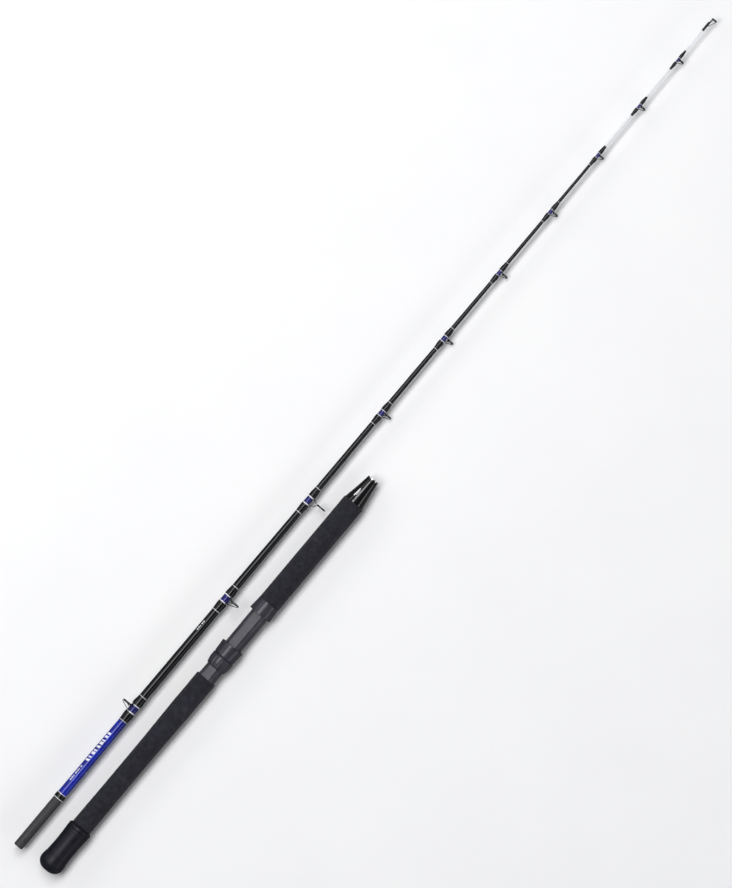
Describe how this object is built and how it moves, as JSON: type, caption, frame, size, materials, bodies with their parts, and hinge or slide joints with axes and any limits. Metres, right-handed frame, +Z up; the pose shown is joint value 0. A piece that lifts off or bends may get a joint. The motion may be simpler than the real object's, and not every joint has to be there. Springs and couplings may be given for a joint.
{
  "type": "fishing rod",
  "caption": "Two-piece boat fishing rod laid out unjointed: foam-gripped handle with threaded reel seat and rubber butt cap, and a tapered tip section with spiral-wrapped line guides.",
  "frame": {"origin": "centre of the footprint of both sections as they lie, on the surface that they lie on", "axes": "+X along both sections from butt to tip, +Y from the handle towards the tip section, +Z up"},
  "size_m": [1.5066, 0.0891, 0.0424],
  "materials": {
    "glass_fibre": "resin over glass cloth",
    "eva_foam": "closed-cell foam",
    "cap_rubber": "moulded",
    "nock_polymer": "moulded",
    "graphite_seat": "graphite-filled, satin",
    "arbor_foam": "rigid foam",
    "gloss_black": "clear-coated",
    "silver_thread": "metallic thread under epoxy",
    "spigot_carbon": "sanded",
    "blue_lacquer": "deep lacquer",
    "white_glass": "solid glass fibre, clear-coated",
    "black_thread": "thread under epoxy",
    "blue_thread": "metallic thread under epoxy",
    "dark_steel": "dark plated wire",
    "ceramic": "polished ceramic"
  },
  "bodies": {
    "handle": {"handle_tube": "glass_fibre", "rear_grip": "eva_foam", "fore_grip": "eva_foam", "gimbal_nock": "nock_polymer", "reel_seat_barrel": "graphite_seat", "fixed_hood": "graphite_seat", "seat_arbors": "arbor_foam", "nose_cone": "gloss_black", "nose_ring": "silver_thread"},
    "butt_cap": {"butt_cap": "cap_rubber"},
    "sliding_hood": {"sliding_hood": "graphite_seat"},
    "lock_nut": {"lock_nut": "graphite_seat"},
    "tip_section": {"blue_bands": "blue_thread", "blue_lacquer": "blue_lacquer", "carbon_blank": "gloss_black", "collar_wrap": "black_thread", "ferrule_spigot": "spigot_carbon", "glass_tip": "white_glass", "guide_frame_1": "dark_steel", "guide_frame_10": "dark_steel", "guide_frame_2": "dark_steel", "guide_frame_3": "dark_steel", "guide_frame_4": "dark_steel", "guide_frame_5": "dark_steel", "guide_frame_6": "dark_steel", "guide_frame_7": "dark_steel", "guide_frame_8": "dark_steel", "guide_frame_9": "dark_steel", "guide_ring_1": "ceramic", "guide_ring_10": "ceramic", "guide_ring_2": "ceramic", "guide_ring_3": "ceramic", "guide_ring_4": "ceramic", "guide_ring_5": "ceramic", "guide_ring_6": "ceramic", "guide_ring_7": "ceramic", "guide_ring_8": "ceramic", "guide_ring_9": "ceramic", "guide_wraps_1": "black_thread", "guide_wraps_10": "black_thread", "guide_wraps_2": "black_thread", "guide_wraps_3": "black_thread", "guide_wraps_4": "black_thread", "guide_wraps_5": "black_thread", "guide_wraps_6": "black_thread", "guide_wraps_7": "black_thread", "guide_wraps_8": "black_thread", "guide_wraps_9": "black_thread", "silver_trims": "silver_thread", "tip_top_frame": "dark_steel", "tip_top_ring": "ceramic"}
  },
  "joints": [
    {"name": "hood_slide", "type": "slide", "parent": "handle", "child": "sliding_hood", "axis": [1, 0, 0], "range_m": [-0.012, 0.02]},
    {"name": "nut_turn", "type": "hinge", "parent": "sliding_hood", "child": "lock_nut", "pos_m": [-0.3773, -0.0259, 0.01845], "axis": [1, 0, 0], "range_deg": [-2160, 3600]},
    {"name": "cap_pull", "type": "slide", "parent": "handle", "child": "butt_cap", "axis": [-1, 0, 0], "range_m": [0, 0.07]},
    {"name": "tip_draw", "type": "slide", "parent": "handle", "child": "tip_section", "axis": [1, 0, 0], "range_m": [0, 0.618]}
  ],
  "couplings": [
    {"joint": "nut_turn", "follows": "hood_slide", "rad_per_m": 3141.6}
  ]
}
